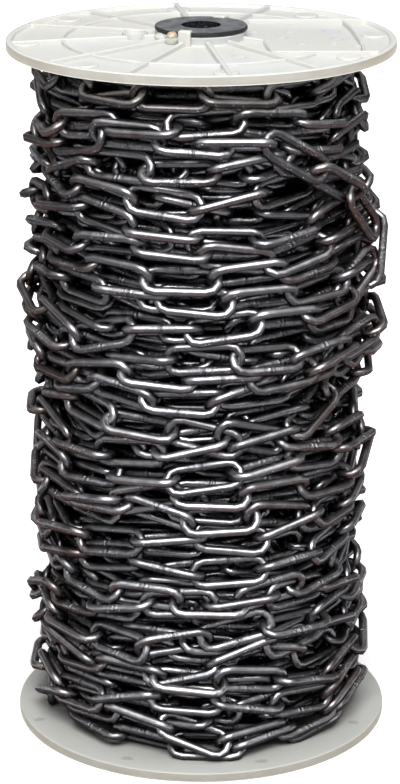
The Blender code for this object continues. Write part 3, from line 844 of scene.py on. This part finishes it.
def flangeBody():
    # the flange without its ribs, as one outline carried round: rim, web, collar and spigot
    top, edge, wall = reel["height"], reel["radius"], reel["wall"]
    low, hub, bore = top - reel["rimHeight"], reel["hubRadius"], topFlange["collarBore"]
    collar, spigot = top + topFlange["collarRise"], top - 0.0095
    profile = [
        (edge, -0.0010), (edge - 0.0001, -0.0005), (edge - 0.0004, -0.00015), (edge - 0.0009, 0),
        (wall + 0.0007, 0.00002), (wall + 0.0003, -0.0001), (wall + 0.0001, -0.0004), (wall - 0.0001, -0.0012),
        (wall - 0.0003, -0.0016), (wall - 0.0008, -0.0018),
    ]
    profile = [(r, h + top) for r, h in profile]
    inner = np.linspace(wall - 0.002, hub + 0.0008, 24)
    profile += list(zip(inner, webHeight(inner)))
    profile += [(hub + 0.0002, webHeight(hub) + 0.0003), (hub, webHeight(hub) + 0.0009), (hub, collar - 0.0003),
                (hub - 0.0003, collar), (bore, collar), (bore, spigot), (0.0206, spigot), (0.0206, top - 0.0026),
                (0.0285, top - 0.0026), (0.0836, low), (edge - 0.0008, low), (edge - 0.0003, low + 0.0002),
                (edge, low + 0.0008), (edge, (top + low) / 2)]
    warp = np.random.default_rng(4).uniform(0, 6.28, 4)

    def unevenness(angle, height):
        # the rim is out of round by about a tenth of a millimetre
        return 0.00005 * sum(np.sin(k * angle + warp[k - 2]) for k in (2, 3, 5))

    return turnedShell(profile, 288, swell=unevenness)


def panelRibs():
    # the panel's long sides and near side, the rib from the collar to its corner, and its far edge
    half, width = topFlange["panelHalf"], topFlange["panelEdge"]
    height = reel["height"] + topFlange["panelRise"]
    reach = math.sqrt((reel["radius"] - 0.0020) ** 2 - half ** 2)
    corner, near = topFlange["panelNear"]
    shells = [webRib(np.linspace(start, end, stations), height, width) for start, end, stations in (
        (near, (reach, -half), 20), ((topFlange["panelFar"], half), (reach, half), 20), (corner, near, 10))]
    hub = atAngle(reel["hubRadius"] - topFlange["ribEnds"][0], -topFlange["panelHub"])
    shells.append(webRib(np.linspace(hub, corner, 8), np.linspace(ribTop(reel["hubRadius"]), height, 8)))
    x, y = np.array(topFlange["panelEnd"]).T
    across = np.linspace(y[0], y[-1], 30)
    tops = height - 0.0003 - 0.0006 * np.linspace(0, 1, 30) ** 2
    shells.append(webRib(np.stack([np.interp(-across, -y, x), across], axis=1), tops, width))
    return shells


def roundOnWeb(x, y, outline, size, steps):
    # a low round form standing on the web
    radius, height = np.array(outline).T
    profile = np.stack([np.maximum(radius * size, 0.0002), height + webHeight(math.hypot(x, y))], axis=1)
    return turnedShell(profile, steps, (x, y))


def roundRibs():
    # the stiffening ring, which stops at the panel, the low discs near the rim, and the pin marks
    ring = topFlange["ringRadius"]
    stop = math.asin(topFlange["panelHalf"] / ring)
    plan = polar(ring, np.linspace(stop, 2 * math.pi - stop, 150), 0.0)[:, :2]
    shells = [webRib(plan, webHeight(ring) + topFlange["ringRise"], topFlange["ringWidth"])]
    shells += [roundOnWeb(x, y, topFlange["discOutline"], 1, 48) for x, y in topFlange["discs"]]
    shells += [roundOnWeb(x, y, topFlange["pinOutline"], radius, 28) for x, y, radius, tint in topFlange["pinMarks"]]
    return shells


def bossShell():
    x, y, radius = topFlange["boss"]
    top = ribTop(math.hypot(x, y)) + 0.0010
    low = reel["height"] - 0.0022
    wall = radius - 0.0012
    profile = [(radius, low), (radius, top - 0.0004), (radius - 0.0001, top - 0.0001), (radius - 0.0004, top),
               (wall + 0.0003, top), (wall, top - 0.0003), (wall - 0.0001, top - 0.0014),
               (wall - 0.0004, top - 0.0016), (0.0001, top - 0.0016), (0.0001, low)]
    return turnedShell(profile, 48, (x, y))


def hookShells():
    # tabs up past the bush, each with a lip over its edge
    foot, lip, top = reel["height"] - 0.0010, bushSeat + 0.00225, bushSeat + 0.0032
    inner, outer = reel["hubRadius"] + 0.0003, reel["hubRadius"] + 0.0022
    shells = []
    for angle, reach in topFlange["hooks"]:
        tip = inner - reach
        outline = [(inner, foot), (inner, lip), (tip + 0.0002, lip), (tip, lip + 0.0004), (tip + 0.0006, top - 0.0001),
                   (outer - 0.0012, top), (outer - 0.0005, top - 0.0002), (outer - 0.0001, top - 0.0007),
                   (outer, top - 0.0013), (outer, foot)]
        shells.append(pillowShell(outline, topFlange["hookWidth"], math.radians(angle), 0.0004))
    return shells


def makeTopFlange():
    shells = [flangeBody()] + panelRibs() + roundRibs() + [bossShell()] + hookShells()
    top, hub, (into, past) = reel["height"], reel["hubRadius"], topFlange["ribEnds"]
    for angle in topFlange["ribAngles"]:
        plan = np.linspace(atAngle(hub - into, angle), atAngle(reel["radius"] - past, angle), 24)
        shells.append(webRib(plan, ribTop(np.hypot(*plan.T))))
    spots = [(x, y, 2.1 * radius, 2.1 * radius, 0, tint) for x, y, radius, tint in topFlange["pinMarks"]]
    material = makePlastic("flange_plastic", top - reel["rimHeight"], 0.0, spots)
    addPiece("top_moulding", shells, material, ["top_flange"])
    # the stub of a broken hook on a lump of flash, and another lump on the collar
    stub = atAngle(hub + 0.0006, -127)
    torn = makeCloudy("torn_plastic", *topFlange["torn"], 420.0, 0.45, 0.0004)
    hook = blobShell((*stub, top + 0.0041), (0.0029, 0.0023, 0.0019), 3, 0.35)
    addPiece("broken_hook", [hook], torn)
    spot = atAngle(hub + 0.0002, -150)
    lumps = [blobShell((*stub, top + 0.0018), (0.0033, 0.0024, 0.0023), 8, 0.25),
             blobShell((*spot, top + 0.0020), (0.0030, 0.0034, 0.0020), 5, 0.3)]
    flash = makeCloudy("flash_plastic", *topFlange["flash"], 420.0, 0.4, 0.0002)
    addPiece("moulding_flash", lumps, flash)
    print("top flange made")


bottomFlange = {
    "face": 0.0049,            # inner face, level
    # dimples on the inner face as spots of painted shade: x, y, length, width, turn, tint
    "smears": ((-0.0832, -0.0321, 0.0070, 0.0048, 20, "shadeGrey"), (-0.0368, -0.0775, 0.0070, 0.0048, -10, "shadeGrey"),
               (0.0300, -0.0809, 0.0076, 0.0046, 10, "shadeGrey"), (0.0781, -0.0357, 0.0072, 0.0048, -20, "shadeGrey")),
}


def makeBottomFlange():
    edge, wall, face = reel["radius"], reel["wall"], bottomFlange["face"]
    profile = [
        (edge - 0.0009, face), (edge - 0.0004, face - 0.00015), (edge - 0.0001, face - 0.0005),
        (edge, face - 0.0011), (edge, 0.0010), (edge - 0.0002, 0.0004), (edge - 0.0006, 0.0001),
        (edge - 0.0011, 0), (wall, 0), (wall, 0.0018), (0.0260, 0.0018), (0.0250, 0.0003), (0.0226, 0.0003),
        (0.0226, 0.0023), (0.0180, 0.0023), (0.0180, 0.0095), (0.0206, 0.0095), (0.0206, face),
        (0.0500, face), (0.0800, face),
    ]
    shells = [turnedShell(profile, 288)]
    for k in range(12):
        plan = np.linspace(atAngle(0.0240, 15 + 30 * k), atAngle(wall + 0.001, 15 + 30 * k), 6)
        under = ribShell(plan * (1, -1), 0.0, 0.0015, topFlange["ribWidth"])
        points = under[0] * (1, -1, -1) + (0, 0, 0.0018)
        points[:, 2] = np.maximum(points[:, 2], 0.0003)
        shells.append(facingOut(points, under[1], under[2]))
    # the lower flange is a shaded copy of the flange plastic: painted shade
    material = makePlastic("lower_plastic", 0.0, 0.40, bottomFlange["smears"])
    addPiece("bottom_moulding", shells, material, ["bottom_flange"])
    print("bottom flange made")


bush = {
    "bore": 0.0095,
    "plug": 0.0177,
    "thick": 0.0022,
    "upperGrey": ((0.082, 0.088, 0.096, 1), (0.190, 0.199, 0.207, 1)),
    "scratched": (0.23, 0.235, 0.25, 1),
    "lowerBlack": ((0.006, 0.006, 0.009, 1), (0.060, 0.062, 0.070, 1)),
    "tube": ((0.05, 0.05, 0.05, 1), (0.08, 0.08, 0.078, 1)),
}


def makeBushBlack():
    # black moulding whose upward faces are a lighter bluish grey, with a coarse grain and a dull bore
    material, tree, shader = newMaterial("black_bush")
    place, upward = placeAndUp(tree)
    cloud, grain = noiseAt(place, 180.0, 4.0, 0.6), noiseAt(place, 1500.0, 3.0, 0.7)
    upperGrey = blended(between(cloud, 0.38, 0.62), *bush["upperGrey"])
    upperGrey = blended(between(grain, 0.52, 0.66) * 0.6, upperGrey, bush["scratched"])
    colour = blended(between(upward, 0.5, 0.9), blended(between(grain, 0.48, 0.66), *bush["lowerBlack"]), upperGrey)
    outside = between(fromAxis(place), bush["bore"] + 0.0001, bush["bore"] + 0.0005)
    tree.links.new((outside * 0.5).output, shader.inputs["Specular IOR Level"])
    paint(shader, colour, grain * 0.2 + 0.45, grain + cloud, 0.0003, {})
    return material


def makeBushes():
    disc, bore, plug, seat, foot = reel["hubRadius"], bush["bore"], bush["plug"], bushSeat, reel["height"] - 0.0095
    face = seat + bush["thick"]
    waves = np.random.default_rng(9).uniform(0, 6.28, 6)

    def roughEdge(angle, height):
        # only the disc's upright side is uneven
        return 0.00008 * sum(np.sin((7 + 9 * k) * angle + waves[k]) for k in range(6)) * (height > seat)

    profile = [(disc - 0.0004, face), (disc - 0.0001, face - 0.0001), (disc, face - 0.0004), (disc, seat + 0.0003),
               (disc - 0.0003, seat), (plug, seat), (plug, foot), (bore, foot), (bore, face - 0.0004),
               (bore + 0.0001, face - 0.0001), (bore + 0.0004, face), (bore + 0.003, face), (disc - 0.003, face)]
    black = makeBushBlack()
    burr = blobShell((0.0024, -0.0094, seat + 0.0020), (0.0007, 0.0007, 0.0011), 4, rows=6, columns=8)
    addPiece("top_bush_disc", [turnedShell(profile, 160, swell=roughEdge), burr], black, ["top_bush"])
    # painted shade: the core tube is near black, as the inside of the bore lies in shade
    tube = makeCloudy("tube_plastic", *bush["tube"], 90.0, 0.5, 0.0001)
    for node, material in (("bottom_bush", black), ("core_tube", tube)):
        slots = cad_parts[node].data.materials
        slots.clear()
        slots.append(material)
    print("bushes made")


makeTopFlange()
makeBottomFlange()
makeBushes()


studio = {
    "floor": (0.80, 0.80, 0.80, 1),
    "level": -0.0001,          # of the floor
    "rings": (0.3, 1.0, 3.0, 9.0),
    "glow": 0.46,              # of the floor under the reel, and what is added further off
    "farGlow": 0.60,
    # name, place, width, height, radiance
    "lights": (("front_box", (0.0, -1.60, 1.80), 1.35, 0.95, 12.8),
               ("left_box", (-1.7, -0.75, 1.60), 0.9, 1.1, 0.35),
               ("right_box", (1.7, -0.75, 1.60), 0.9, 1.1, 0.25),
               ("back_box", (0.0, 2.0, 1.3), 2.2, 0.9, 0.6),
               ("top_box", (0.0, -0.2, 2.4), 3.0, 2.4, 0.8)),
    "target": (0.0, 0.0, 0.18),
    "world": 0.10,
}

camera = {
    "width": 400,
    "height": 784,
    "focal": 2723.8,           # in pixels, fitted to the rims' ellipses
    "pitch": 18.19,            # degrees down
    "place": (-0.0006, -1.3113, 0.6026),
}


def makeFloor():
    rings, steps = np.array(studio["rings"])[:, None], 96
    points = polar(rings, np.linspace(0, 2 * math.pi, steps, endpoint=False), studio["level"]).reshape(-1, 3)
    points = np.concatenate([points, [(0, 0, studio["level"])]])
    middle = [[len(points) - 1, k, (k + 1) % steps] for k in range(steps)]
    mesh = bpy.data.meshes.new("floor")
    mesh.from_pydata(points.tolist(), [], gridQuads(len(rings), steps)[:, ::-1].tolist() + middle)
    material, tree, shader = newMaterial("pale_floor")
    shader.inputs["Base Color"].default_value = studio["floor"]
    shader.inputs["Roughness"].default_value = 0.9
    shader.inputs["Emission Color"].default_value = (1, 1, 1, 1)
    # the floor glows more with its distance, where less light reaches it
    away = addNode(tree, "VectorMath", {0: placeAndUp(tree)[0]}, "Value", operation="LENGTH")
    glow = between(away, 0.05, 0.40) * studio["farGlow"] + studio["glow"]
    tree.links.new(glow.output, shader.inputs["Emission Strength"])
    mesh.materials.append(material)
    placeObject("floor", mesh)


def makeLight():
    # soft boxes that face the target, with power = radiance pi w h, and a dim white world
    for name, place, width, height, radiance in studio["lights"]:
        data = bpy.data.lights.new(name, "AREA")
        data.shape, data.size, data.size_y = "RECTANGLE", width, height
        data.energy = radiance * math.pi * width * height
        lamp = placeObject(name, data)
        lamp.location = place
        lamp.rotation_euler = (Vector(studio["target"]) - Vector(place)).to_track_quat("-Z", "Y").to_euler()
    world = bpy.data.worlds.new("studio")
    bpy.context.scene.world = world
    world.use_nodes = True
    sky = world.node_tree.nodes["Background"].inputs
    sky["Color"].default_value, sky["Strength"].default_value = (1, 1, 1, 1), studio["world"]
    bpy.context.scene.view_settings.view_transform = "Standard"


def makeCamera():
    data = bpy.data.cameras.new("camera")
    data.sensor_fit = "AUTO"
    data.sensor_width = 36.0
    data.lens = camera["focal"] * data.sensor_width / max(camera["width"], camera["height"])
    data.clip_end = 50.0
    eye = placeObject("camera", data)
    eye.location = camera["place"]
    eye.rotation_euler = (math.radians(90 - camera["pitch"]), 0, 0)
    bpy.context.scene.camera = eye


makeFloor()
makeLight()
makeCamera()
print("studio made")
